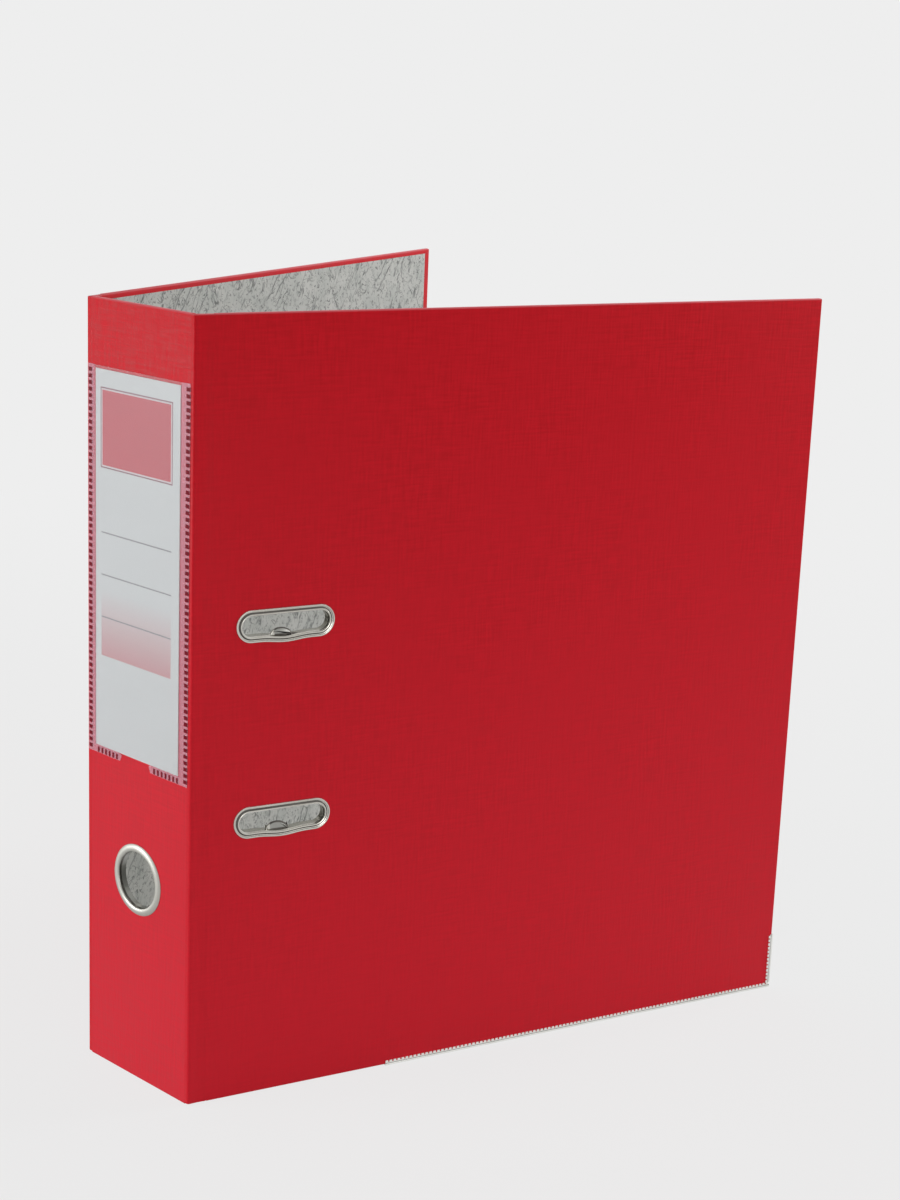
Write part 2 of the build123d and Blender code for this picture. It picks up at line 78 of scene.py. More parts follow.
def add(material, kind, inputs, **settings):
    """Adds one shader node with its settings, values and links."""
    node = material.node_tree.nodes.new("ShaderNode" + kind)
    for name, value in settings.items():
        setattr(node, name, value)
    return feed(material, node, inputs)


def start_material(name, uniform):
    """A new material and its shader, with the values that are the same all over."""
    material = bpy.data.materials.new(name)
    material.use_nodes = True
    shader = material.node_tree.nodes["Principled BSDF"]
    return material, feed(material, shader, uniform)


def mix(material, share, first, second):
    """Goes from the first colour to the second as share goes from 0 to 1."""
    inputs = {0: share, 6: first, 7: second}
    return add(material, "Mix", inputs, data_type="RGBA").outputs[2]


def fade(material, value, start, end, low=0.0, high=1.0):
    """Goes from low to high as a value goes from start to end."""
    inputs = {"Value": value, "From Min": start, "From Max": end, "To Min": low, "To Max": high}
    return add(material, "MapRange", inputs).outputs[0]


def combine(material, operation, first, second):
    """Sum, product or the like of two values."""
    return add(material, "Math", {0: first, 1: second}, operation=operation).outputs[0]


def dress(piece, *materials):
    """Gives a piece its materials, in the order of its faces' material numbers."""
    slots = piece.data.materials
    for number, material in enumerate(materials):
        if number < len(slots):
            slots[number] = material
        else:
            slots.append(material)


def grey_board():
    """Pressed grey board: dull, with pale and dark fibres a few millimetres long."""
    material, shader = start_material("grey_board", {"Roughness": 0.92})
    place = add(material, "TexCoord", {}).outputs["Object"]
    inputs = {"Vector": place, "Scale": 1 / (2 * mm), "Detail": 4}
    fibres = add(material, "TexNoise", inputs).outputs[0]
    tone = mix(material, fibres, colour("6f6a62"), colour("a8a297"))
    relief = add(material, "Bump", {"Height": fibres, "Distance": 0.1 * mm}).outputs[0]
    feed(material, shader, {"Base Color": tone, "Normal": relief})
    return material


board_finish = grey_board()
for name in ("spine_board", "front_board", "back_board"):
    dress(frame["nodes"][name], board_finish)

# ---- Red film on the spine and the covers ------------------------------------------------
# One sheet of red polypropylene, embossed with a linen grain, is glued round the boards and
# turned in over their edges. It rounds each edge of the board a little.
edge_round, edge_steps = 0.7 * mm, 3
# Shares of the painted sheen towards the foot and of the painted highlight along the top edge.
foot_sheen_share, top_highlight_share = 0.46, 0.6
weld = 0.001 * mm
flat_below, sharp_above = radians(1), radians(35)
joints = {joint["name"]: joint for joint in frame["joints"]}
spine_low, spine_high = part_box("spine_wrap")
half_panel = spine_high.x
panel = 2 * half_panel / mm
sides = {"front": -1, "back": 1}


class Cover:
    """Where a cover lies: its hinge line and its directions along and into the file."""

    def __init__(self, name):
        hinge = joints[f"{name}_hinge"]
        self.side = sides[name]
        self.angle = radians(-hinge["range_deg"][0])
        self.axis = Vector(hinge["pos_m"])
        self.along = Vector((cos(self.angle), self.side * sin(self.angle), 0))
        self.inward = Vector((sin(self.angle), -self.side * cos(self.angle), 0))
        self.turn = -self.side * self.angle
        columns = (self.along * mm, self.inward * mm, Vector((0, 0, mm)))
        self.place = Matrix(columns).transposed().to_4x4()
        self.place.translation = self.axis - self.inward * half_panel


covers = {name: Cover(name) for name in sides}


def linen_film(name, turn, wear_and_sheen):
    """Embossed polypropylene film: deep red with a low, even sheen, broken by thin threads
    that run along and up the board. The threads are drawn about twice as coarse as real ones,
    which would be too fine to show. Towards the foot a painted sheen makes it a little paler, and
    along the top of the board a thin painted highlight is laid in."""
    thread, slub, cloud = 1.0 * mm, 12 * mm, 45 * mm
    material, shader = start_material(name, {"Specular IOR Level": 0.13})
    place = add(material, "TexCoord", {}).outputs["Object"]
    turned = add(material, "Mapping", {"Vector": place, "Rotation": (0, 0, turn)}).outputs[0]
    grain = []
    for stretch in ((thread / slub, 1, 1), (1, 1, thread / slub)):
        spread = add(material, "Mapping", {"Vector": turned, "Scale": stretch}).outputs[0]
        inputs = {"Vector": spread, "Scale": 1 / thread, "Detail": 2}
        grain.append(add(material, "TexNoise", inputs).outputs[0])
    weave = combine(material, "ADD", *grain)
    inputs = {"Vector": turned, "Scale": 1 / cloud, "Detail": 3}
    mottle = add(material, "TexNoise", inputs).outputs[0]
    threads = mix(material, fade(material, weave, 0.75, 1.25), colour("c30717"), colour("d60f21"))
    red = mix(material, fade(material, mottle, 0.3, 0.8, 0.0, 0.8), threads, colour("ce0c1e"))
    height = add(material, "SeparateXYZ", {"Vector": place}).outputs["Z"]
    # Painted sheen: paler towards the foot.
    foot_sheen = fade(material, height, spine_high.z, 0.0, 0.0, foot_sheen_share)
    red = mix(material, foot_sheen, red, colour(wear_and_sheen))
    # Painted highlight along the top edge of the board.
    top_highlight = fade(material, height, spine_high.z - edge_round, spine_high.z, 0.0, top_highlight_share)
    red = mix(material, top_highlight, red, colour("f08c94"))
    rough = fade(material, weave, 0.7, 1.3, 0.42, 0.58)
    inputs = {"Height": weave, "Distance": 0.13 * mm, "Strength": 0.5}
    relief = add(material, "Bump", inputs).outputs[0]
    feed(material, shader, {"Base Color": red, "Roughness": rough, "Normal": relief})
    return material


def make_piece(name, bm, place=None, smooth_below=sharp_above):
    """A new piece from a bmesh, put in its place and smooth except at its sharp edges."""
    if place:
        bmesh.ops.transform(bm, matrix=place, verts=bm.verts)
        bmesh.ops.recalc_face_normals(bm, faces=bm.faces)
    for face in bm.faces:
        face.smooth = True
    for edge in bm.edges:
        edge.smooth = edge.calc_face_angle(pi) < smooth_below
    mesh = bpy.data.meshes.new(name)
    bm.to_mesh(mesh)
    bm.free()
    piece = bpy.data.objects.new(name, mesh)
    bpy.context.scene.collection.objects.link(piece)
    return piece


def round_edges(bm, edges, radius, segments=2):
    """Rounds the given edges."""
    bmesh.ops.bevel(
        bm,
        geom=edges,
        offset=radius,
        offset_type="OFFSET",
        segments=segments,
        profile=0.5,
        affect="EDGES",
        clamp_overlap=True,
        material=-1,
    )


def softened(name, node, radius, chosen=lambda edge: True, segments=2):
    """A copy of a CAD piece with its sharp edges rounded, or only the chosen ones."""
    bm = bmesh.new()
    bm.from_mesh(frame["nodes"][node].data)
    bmesh.ops.remove_doubles(bm, verts=bm.verts, dist=weld)
    bmesh.ops.dissolve_limit(bm, angle_limit=flat_below, verts=bm.verts, edges=bm.edges)
    sharp = [edge for edge in bm.edges if edge.calc_face_angle(0) > sharp_above]
    round_edges(bm, [edge for edge in sharp if chosen(edge)], radius, segments)
    return make_piece(name, bm)


def level_with(edge, heights):
    """True for a level edge at one of the given heights."""
    return any(all(abs(vert.co.z - height) < weld for vert in edge.verts) for height in heights)


def across_spine(edge):
    """True for the long edges across the top and the foot of the spine."""
    wide = abs(edge.verts[0].co.y - edge.verts[1].co.y) > mm
    return wide and level_with(edge, (spine_low.z, spine_high.z))


# The spine is given a paler painted sheen towards the foot than the covers.
spine_finish = linen_film("red_linen_film_spine", -pi / 2, "ec4050")
spine_film = softened("spine_film", "spine_wrap", edge_round, across_spine, edge_steps)
dress(spine_film, spine_finish)
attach(spine_film, "spine")
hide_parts("spine_wrap")

cover_finish = {}
for name, cover in covers.items():
    low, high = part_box(f"{name}_wrap")
    verts = frame["nodes"][f"{name}_wrap"].data.vertices
    reach = max((vert.co - cover.axis).dot(cover.along) for vert in verts)

    def on_rim(edge):
        """True for the edges along the top, the foot and the free edge of the cover's faces."""
        ends = [vert.co - cover.axis for vert in edge.verts]
        on_face = all(abs(abs(end.dot(cover.inward)) - half_panel) < weld for end in ends)
        free = all(abs(end.dot(cover.along) - reach) < weld for end in ends)
        return on_face and (free or level_with(edge, (low.z, high.z)))

    cover_finish[name] = linen_film(f"red_linen_film_{name}", cover.turn, "e83040")
    film = softened(f"{name}_film", f"{name}_wrap", edge_round, on_rim, edge_steps)
    dress(film, cover_finish[name])
    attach(film, f"{name}_cover")
    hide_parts(f"{name}_wrap")

# ---- Hinge film --------------------------------------------------------------------------
# Between the spine and each cover the film has no board behind it: it rounds the spine's edge
# and runs in a shallow groove to the cover's board. At top and foot it is turned in, and fills
# the gap between the boards.
hinge_width = 7.0
groove = ((1.2, 0.06), (2.6, 0.16), (4.6, 0.16), (6.2, 0.04), (hinge_width, 0.0))
hinge_thickness = 0.9 * mm
hinge_round, rim_above = hinge_thickness / 3, radians(60)
hinge_notch = 0.25 * mm
hinge_arc_steps = 10


def finished(piece):
    """Turns a piece's modifiers into mesh."""
    graph = bpy.context.evaluated_depsgraph_get()
    mesh = bpy.data.meshes.new_from_object(piece.evaluated_get(graph))
    piece.modifiers.clear()
    piece.data = mesh
    return piece


def thicken(piece, thickness):
    """Gives a sheet its thickness, on the side away from where its faces point."""
    shell = piece.modifiers.new("thickness", "SOLIDIFY")
    shell.thickness = thickness
    shell.offset = -1
    shell.use_even_offset = True
    return piece


def upright_sheet(bm, low, high):
    """Raises a wire that lies in a level plane into an upright sheet from low to high."""
    for vert in bm.verts:
        vert.co.z = low
    raised = bmesh.ops.extrude_edge_only(bm, edges=bm.edges[:])["geom"]
    tops = [item for item in raised if isinstance(item, bmesh.types.BMVert)]
    bmesh.ops.translate(bm, vec=(0, 0, high - low), verts=tops)


def face_away_from(bm, point):
    """Turns the faces so that they point away from an upright line through a point."""
    for face in bm.faces:
        outward = face.calc_center_median() - Vector(point)
        if face.normal.dot(Vector((outward.x, outward.y, 0))) < 0:
            face.normal_flip()


for name, cover in covers.items():
    low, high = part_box(f"{name}_wrap")
    spine_edge = Vector((-half_panel, cover.side * spine_high.y, 0))
    arc_start = Vector((-half_panel, cover.axis.y, 0))
    bm = bmesh.new()
    first, last = bm.verts.new(spine_edge), bm.verts.new(arc_start)
    bm.edges.new((first, last))
    arc = bmesh.ops.spin(
        bm,
        geom=[last],
        cent=cover.axis,
        axis=(0, 0, cover.side),
        angle=-(pi / 2 - cover.angle),
        steps=hinge_arc_steps,
        dvec=(0, 0, 0),
    )
    last = arc["geom_last"][0]
    for along, depth in groove:
        point = bm.verts.new(cover.place @ Vector((along, depth, 0)))
        bm.edges.new((last, point))
        last = point
    upright_sheet(bm, low.z + hinge_notch, high.z - hinge_notch)
    bmesh.ops.recalc_face_normals(bm, faces=bm.faces)
    inside = cover.place @ Vector((hinge_width, 2 * hinge_width, 0))
    face_away_from(bm, inside)
    bm.normal_update()
    ends = (low.z + hinge_notch, high.z - hinge_notch)
    row = [vert for vert in bm.verts if abs(vert.co.z - ends[0]) < weld]
    turned_in = [vert.co - vert.normal * hinge_thickness / 2 for vert in row]
    turned_in.append(cover.place @ Vector((hinge_width, panel, 0)))
    turned_in.append(Vector((half_panel, cover.side * spine_high.y, 0)))
    sheet = finished(thicken(make_piece(f"{name}_sheet", bm), hinge_thickness))
    bm = bmesh.new()
    bm.from_mesh(sheet.data)
    bpy.data.objects.remove(sheet)
    rims = [edge for edge in bm.edges if level_with(edge, ends)]
    rims = [edge for edge in rims if edge.calc_face_angle(0) > rim_above]
    round_edges(bm, rims, hinge_round)
    lining_low, lining_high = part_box(f"{name}_lining")
    for foot, top in ((ends[0], lining_low.z), (lining_high.z, ends[1])):
        corners = [bm.verts.new((corner.x, corner.y, foot)) for corner in turned_in]
        block = bmesh.ops.extrude_face_region(bm, geom=[bm.faces.new(corners)])["geom"]
        verts = [item for item in block if isinstance(item, bmesh.types.BMVert)]
        bmesh.ops.translate(bm, vec=(0, 0, top - foot), verts=verts)
    bmesh.ops.recalc_face_normals(bm, faces=bm.faces)
    film = make_piece(f"{name}_hinge", bm)
    dress(film, cover_finish[name])
    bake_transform(film)
    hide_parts(f"{name}_hinge_film")

# ---- Marbled paper lining ----------------------------------------------------------------
# Printed paper glued inside over the turned-in film, in one strip from cover to cover. The
# print is a common marbled one: grey green, crossed by long cracks, short strokes and specks.
lining_thickness = 0.25 * mm
fold_cuts = 8
crack_lean, crack_spacing = -42, 64 * mm


def strokes(material, place, angle, stretch, size, width, gap):
    """Thin broken lines: where a soft pattern, stretched at an angle, crosses its middle."""
    inputs = {"Vector": place, "Rotation": (0, radians(angle), 0), "Scale": (1, 1, 1 / stretch)}
    spread = add(material, "Mapping", inputs, vector_type="TEXTURE").outputs[0]
    pattern = add(material, "TexNoise", {"Vector": spread, "Scale": 1 / size}).outputs[0]
    off_line = combine(material, "ABSOLUTE", combine(material, "SUBTRACT", pattern, 0.5), 0.0)
    line = fade(material, off_line, width, 0.3 * width)
    inputs = {"Vector": place, "Scale": 0.9 / size, "Detail": 1}
    breaks = add(material, "TexNoise", inputs).outputs[0]
    return combine(material, "MULTIPLY", line, fade(material, breaks, gap, gap + 0.04))


def marbled_paper(name, turn, source="Object"):
    """Marbled print on smooth paper: a soft grey-green ground with thin dark cracks in pairs,
    slanting strokes and specks, all dull, with a faint relief from the paper. The turn lays the
    sheet's width along X and its height along Z."""
    material, shader = start_material(name, {"Roughness": 0.62, "Specular IOR Level": 0.3})
    place = add(material, "TexCoord", {}).outputs[source]
    turned = add(material, "Mapping", {"Vector": place, "Rotation": turn}).outputs[0]
    flat = add(material, "VectorMath", {0: turned, 1: (1, 0, 1)}, operation="MULTIPLY").outputs[0]
    inputs = {"Vector": flat, "Scale": 1 / (9 * mm), "Detail": 3}
    drift = add(material, "TexNoise", inputs).outputs["Color"]
    inputs = {0: drift, 1: (0.5, 0.5, 0.5)}
    drift = add(material, "VectorMath", inputs, operation="SUBTRACT").outputs[0]
    inputs = {0: drift, "Scale": 5 * mm}
    drift = add(material, "VectorMath", inputs, operation="SCALE").outputs[0]
    wavy = add(material, "VectorMath", {0: flat, 1: drift}, operation="ADD").outputs[0]

    inputs = {"Vector": flat, "Scale": 1 / (12 * mm), "Detail": 5, "Roughness": 0.65}
    cloud = add(material, "TexNoise", inputs).outputs[0]
    ground = mix(material, fade(material, cloud, 0.35, 0.7), colour("bfc1bc"), colour("d5d4cf"))

    # Long cracks come in pairs, one on each side of a wave's crest.
    inputs = {"Vector": wavy, "Rotation": (0, radians(crack_lean), 0)}
    leaning = add(material, "Mapping", inputs).outputs[0]
    inputs = {
        "Vector": leaning,
        "Scale": tau / 20 / crack_spacing,
        "Distortion": 11.0,
        "Detail": 2.0,
        "Detail Scale": 0.35,
    }
    wave = add(material, "TexWave", inputs, wave_profile="SIN", bands_direction="X").outputs["Fac"]
    off_crest = combine(material, "ABSOLUTE", combine(material, "SUBTRACT", wave, 0.985), 0.0)
    pair = fade(material, off_crest, 0.008, 0.003)
    inputs = {"Vector": flat, "Scale": 1 / (38 * mm), "Detail": 1}
    patches = add(material, "TexNoise", inputs).outputs[0]
    ink = combine(material, "MULTIPLY", pair, fade(material, patches, 0.47, 0.51))
    # Specks and short strokes: slant in degrees, stretch, size, width of line, and share bare.
    for angle, stretch, size, width, gap in (
        (0, 0.9, 2.2 * mm, 0.03, 0.5),
        (60, 0.6, 3.0 * mm, 0.03, 0.52),
        (38, 0.25, 5.0 * mm, 0.022, 0.54),
        (crack_lean, 0.25, 6.0 * mm, 0.022, 0.56),
        (30, 0.12, 12 * mm, 0.012, 0.5),
    ):
        more = strokes(material, wavy, angle, stretch, size, width, gap)
        ink = combine(material, "MAXIMUM", ink, more)
    inputs = {"Vector": flat, "Scale": 1 / (3 * mm), "Detail": 3}
    strength = fade(material, add(material, "TexNoise", inputs).outputs[0], 0.3, 0.6, 0.3, 0.78)
    ink = combine(material, "MULTIPLY", ink, strength)
    print_tone = mix(material, ink, ground, colour("4a4d4c"))
    inputs = {"Vector": flat, "Scale": 1 / (0.6 * mm), "Detail": 2}
    fibre = add(material, "TexNoise", inputs).outputs[0]
    relief = add(material, "Bump", {"Height": fibre, "Distance": 0.02 * mm}).outputs[0]
    feed(material, shader, {"Base Color": print_tone, "Normal": relief})
    return material


spine_paper = marbled_paper("marbled_paper_spine", (0, 0, -pi / 2))
dress(frame["nodes"]["spine_lining"], spine_paper)
fold_paper = marbled_paper("marbled_paper_fold", (pi / 2, 0, 0), "UV")
for name, cover in covers.items():
    paper = marbled_paper(f"marbled_paper_{name}", (0, 0, cover.turn))
    dress(frame["nodes"][f"{name}_lining"], paper)
    low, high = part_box(f"{name}_lining")
    bm = bmesh.new()
    start = bm.verts.new((half_panel, cover.side * spine_high.y, 0))
    end = bm.verts.new(cover.place @ Vector((hinge_width, panel, 0)))
    crease_start, crease_end = start.co.copy(), start.co.lerp(end.co, 0.5)
    crossing = bm.edges.new((start, end))
    bmesh.ops.subdivide_edges(bm, edges=[crossing], cuts=fold_cuts)
    upright_sheet(bm, low.z, high.z)
    bmesh.ops.recalc_face_normals(bm, faces=bm.faces)
    face_away_from(bm, cover.axis)
    print_place = bm.loops.layers.uv.new("print")
    for face in bm.faces:
        for loop in face.loops:
            level = Vector((loop.vert.co.x, loop.vert.co.y, 0))
            loop[print_place].uv = ((level - crease_start).length, loop.vert.co.z)
    strip = finished(thicken(make_piece(f"{name}_hinge_lining", bm), lining_thickness))
    dress(strip, fold_paper)
    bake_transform(strip)

# ---- Finger ring -------------------------------------------------------------------------
# A nickel plated steel eyelet lines the finger hole. Its flange is rolled over the film outside
# and its tube is closed over a flat washer inside.
finger_height = 86.9
tube_start, tube_shade, tube_outer = 0.3, 0.9, 12.0
washer_round = 0.18 * mm
finger_ring_section = (
    (14.9, 0.0),
    (14.9, -0.18),
    (14.6, -0.46),
    (14.0, -0.74),
    (13.2, -0.9),
    (12.5, -0.86),
    (12.0, -0.62),
    (11.8, -0.2),
    (11.8, tube_shade),
    (11.8, 3.1),
    (12.4, 3.1),
    (12.4, 0.0),
)
spine_place = Matrix(((0, mm, 0), (mm, 0, 0), (0, 0, mm))).to_4x4()
spine_place.translation = Vector((-half_panel, 0, 0))


def spin_section(bm, section, centre, axis, steps=72):
    """Turns a closed section of (radius, place along the axis) pairs round an axis."""
    axis = Vector(axis)
    outward = axis.orthogonal().normalized()
    verts = [bm.verts.new(Vector(centre) + outward * r + axis * t) for r, t in section]
    edges = [bm.edges.new(pair) for pair in zip(verts, verts[1:] + verts[:1])]
    bmesh.ops.spin(
        bm,
        geom=verts + edges,
        cent=centre,
        axis=axis,
        dvec=(0, 0, 0),
        angle=tau,
        steps=steps,
        use_merge=True,
    )
    bmesh.ops.remove_doubles(bm, verts=bm.verts, dist=weld / mm)


def nickel_plate(name, tone, cloudy, roughness, brush=(1, 1, 1)):
    """Nickel plating on pressed steel: bright and faintly warm, with fine lines left by the
    press and cloudy spots where it has been handled."""
    material, shader = start_material(name, {"Metallic": 1.0})
    place = add(material, "TexCoord", {}).outputs["Object"]
    lines = add(material, "Mapping", {"Vector": place, "Scale": brush}).outputs[0]
    inputs = {"Vector": lines, "Scale": 1 / (0.5 * mm), "Detail": 3}
    fine = add(material, "TexNoise", inputs).outputs[0]
    inputs = {"Vector": place, "Scale": 1 / (14 * mm), "Detail": 4}
    cloud = add(material, "TexNoise", inputs).outputs[0]
    shine = mix(material, fade(material, cloud, 0.35, 0.7), colour(tone), colour(cloudy))
    both = combine(material, "ADD", fine, combine(material, "MULTIPLY", cloud, 0.6))
    rough = fade(material, both, 0.5, 1.1, roughness - 0.06, roughness + 0.1)
    inputs = {"Height": fine, "Distance": 0.01 * mm, "Strength": 0.6}
    relief = add(material, "Bump", inputs).outputs[0]
    feed(material, shader, {"Base Color": shine, "Roughness": rough, "Normal": relief})
    return material


bright_nickel = nickel_plate("bright_nickel", "c8c6be", "b8b5ac", 0.2)
# Darker copies of the same plating are painted shade: shaded for deep shade, half shaded for half
# shade.
shaded_nickel = nickel_plate("shaded_nickel", "56534f", "68645f", 0.28)
half_shaded_nickel = nickel_plate("half_shaded_nickel", "9a9a95", "868681", 0.34)
bm = bmesh.new()
spin_section(bm, finger_ring_section, (0, 0, finger_height), (0, 1, 0))
# The tube's inner wall is painted in shade: shaded near the flange, half shaded deeper in.
for face in bm.faces:
    middle = face.calc_center_median()
    radius = Vector((middle.x, middle.z - finger_height)).length
    if middle.y > tube_start and radius < tube_outer:
        face.material_index = 1 if middle.y < tube_shade else 2
finger_ring = make_piece("finger_eyelet", bm, spine_place)
eyelet_nickel = nickel_plate("eyelet_nickel", "b6b6af", "aaa9a2", 0.46)
dress(finger_ring, eyelet_nickel, shaded_nickel, half_shaded_nickel)
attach(finger_ring, "spine")
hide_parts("finger_ring")

washer = softened("finger_washer", "finger_ring_backing", washer_round)
dress(washer, bright_nickel)
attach(washer, "spine")
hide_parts("finger_ring_backing")

# ---- Label pocket ------------------------------------------------------------------------
# A window of clear film, pressed onto the spine along both sides and the foot by hot bars that
# leave a row of short weld marks. Its mouth is at the top, and a notch at the foot bares the
# card so that a thumb can push it up.
pocket_width, pocket_foot, pocket_length = 63.0, 134.4, 157.6
pocket_edge, pocket_ramp, pocket_shift = 2.5, 2.2, 0.4
pocket_weld_height, pocket_window_height, pocket_film = 0.3, 0.7, 0.12
side_mark_pitch, side_mark, side_mark_start = 2.6, 1.8, 0.4
foot_mark_pitch, foot_mark, foot_mark_start = 2.4, 1.5, 0.3
mark_margin, mark_wall, mark_depth = 0.14, 0.1, 0.1
window_sharp_above = radians(20)
notch_half_width, notch_taper, notch_step = 9.8, 1.5, 1.2
notch_depth = 3.4


def cut_faces(bm, faces, point, normal):
    """Cuts the given faces where a plane crosses them."""
    geom = set(faces)
    for face in faces:
        geom.update(face.edges, face.verts)
    bmesh.ops.bisect_plane(bm, geom=list(geom), plane_co=point, plane_no=normal, dist=weld)


def faces_within(bm, low, high):
    """The faces whose middle lies between two corners in width and height."""
    return [
        face
        for face in bm.faces
        if low[0] < face.calc_center_median().x < high[0]
        and low[1] < face.calc_center_median().z < high[1]
    ]


def clear_film(name, tint, alpha):
    """Clear PVC film, a little milky with age: it lightens what is under it and is glossy."""
    uniform = {
        "Base Color": colour(tint),
        "Roughness": 0.34,
        "Alpha": alpha,
        "Specular IOR Level": 0.3,
    }
    material, shader = start_material(name, uniform)
    place = add(material, "TexCoord", {}).outputs["Object"]
    inputs = {"Vector": place, "Scale": 1 / (18 * mm), "Detail": 2}
    ripple = add(material, "TexNoise", inputs).outputs[0]
    relief = add(material, "Bump", {"Height": ripple, "Distance": 0.15 * mm}).outputs[0]
    feed(material, shader, {"Normal": relief})
    return material


def shaded_weld_film():
    """Film melted onto the red cover by the weld bar: clear again, so the red shows through, and
    painted dark for the shade in the pressed marks.
    """
    uniform = {"Roughness": 0.35, "Alpha": 0.93, "Specular IOR Level": 0.08}
    material, shader = start_material("shaded_weld_film", uniform)
    place = add(material, "TexCoord", {}).outputs["Object"]
    inputs = {"Vector": place, "Scale": 1 / (1.5 * mm), "Detail": 2}
    melt = add(material, "TexNoise", inputs).outputs[0]
    feed(material, shader, {"Base Color": mix(material, melt, colour("6c0418"), colour("8a0a22"))})
    return material


half = pocket_width / 2
pocket_top = pocket_foot + pocket_length
inner_side = half - pocket_edge - pocket_ramp
window_foot = pocket_foot + notch_depth
bm = bmesh.new()
upright = Matrix.Rotation(pi / 2, 4, "X")
middle = Matrix.Translation((0, -pocket_weld_height, pocket_foot + pocket_length / 2))
stretch = Matrix.Diagonal((pocket_width, pocket_length, 1, 1))
bmesh.ops.create_grid(bm, x_segments=1, y_segments=1, size=0.5, matrix=middle @ upright @ stretch)
for side in (-1, 1):
    for reach in (half - pocket_edge, inner_side):
        cut_faces(bm, bm.faces[:], (side * reach, 0, 0), (1, 0, 0))
window = faces_within(bm, (-inner_side, pocket_foot), (inner_side, pocket_top))
for height in (pocket_foot + pocket_edge, window_foot):
    cut_faces(bm, window, (0, 0, height), (0, 0, 1))
    window = faces_within(bm, (-inner_side, height), (inner_side, pocket_top))
foot_edge = (inner_side, window_foot)
for side in (-1, 1):
    foot_strip = faces_within(bm, (-inner_side, pocket_foot), foot_edge)
    cut_faces(bm, foot_strip, (notch_step + side * notch_half_width, 0, 0), (1, 0, 0))
notch = faces_within(
    bm,
    (notch_step - notch_half_width, pocket_foot),
    (notch_step + notch_half_width, window_foot),
)
bmesh.ops.delete(bm, geom=notch, context="FACES")
for vert in bm.verts:
    across = vert.co.x - notch_step
    if abs(abs(across) - notch_half_width) < weld / mm and vert.co.z < window_foot + weld:
        rise = (vert.co.z - pocket_foot) / notch_depth
        vert.co.x -= notch_taper * rise * (1 if across > 0 else -1)
    if abs(vert.co.x) < inner_side + weld / mm and vert.co.z > window_foot - weld / mm:
        vert.co.y = -pocket_window_height

marks = []
for side in (-1, 1):
    low, high = sorted((side * half, side * (half - pocket_edge)))
    for number in range(int(pocket_length / side_mark_pitch)):
        foot = pocket_foot + (number + side_mark_start) * side_mark_pitch
        for height in (foot, foot + side_mark):
            column = faces_within(bm, (low, pocket_foot), (high, pocket_top))
            column = [face for face in column if max(v.co.z for v in face.verts) > height]
            cut_faces(bm, column, (0, 0, height), (0, 0, 1))
        marks.append(((low, foot), (high, foot + side_mark)))
strip_top = pocket_foot + pocket_edge
number = 0
while (number + 1) * foot_mark_pitch < 2 * inner_side:
    start = -inner_side + (number + foot_mark_start) * foot_mark_pitch
    number += 1
    if abs(start + foot_mark / 2 - notch_step) < notch_half_width + foot_mark_pitch / 2:
        continue
    for end in (start, start + foot_mark):
        strip = faces_within(bm, (-inner_side, pocket_foot), (inner_side, strip_top))
        strip = [face for face in strip if max(v.co.x for v in face.verts) > end]
        cut_faces(bm, strip, (end, 0, 0), (1, 0, 0))
    marks.append(((start, pocket_foot), (start + foot_mark, strip_top)))
marked = [face for low, high in marks for face in faces_within(bm, low, high)]
bmesh.ops.inset_individual(bm, faces=marked, thickness=mark_margin, depth=0)
bmesh.ops.inset_individual(bm, faces=marked, thickness=mark_wall, depth=-mark_depth)
for face in bm.faces:
    middle = face.calc_center_median()
    if abs(middle.x) > inner_side or middle.z < window_foot:
        face.material_index = 2
for face in marked:
    face.material_index = 1
pocket_place = spine_place @ Matrix.Translation((pocket_shift, 0, 0))
pocket = make_piece("label_window", bm, pocket_place, window_sharp_above)
thicken(pocket, pocket_film * mm)
film_window = clear_film("clear_film", "e8dfe4", 0.12)
film_border = clear_film("milky_film", "f0cadb", 0.27)
dress(pocket, film_window, shaded_weld_film(), film_border)
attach(pocket, "spine")
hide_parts("label_pocket")

# ---- Spine label -------------------------------------------------------------------------
# A white card slipped into the pocket, printed with a plain red heading panel, three ruled
# lines to write on and a red band that fades upwards. It bears no words.
header_foot, header_top, header_side = 252.0, 283.8, 22.4
header_shift = 1.4
ruled_heights = (226.2, 209.1, 191.9)
ruled_side, ruled_width = 22.0, 0.55
band_foot, band_top, band_ink = 175.9, 203.0, 0.6


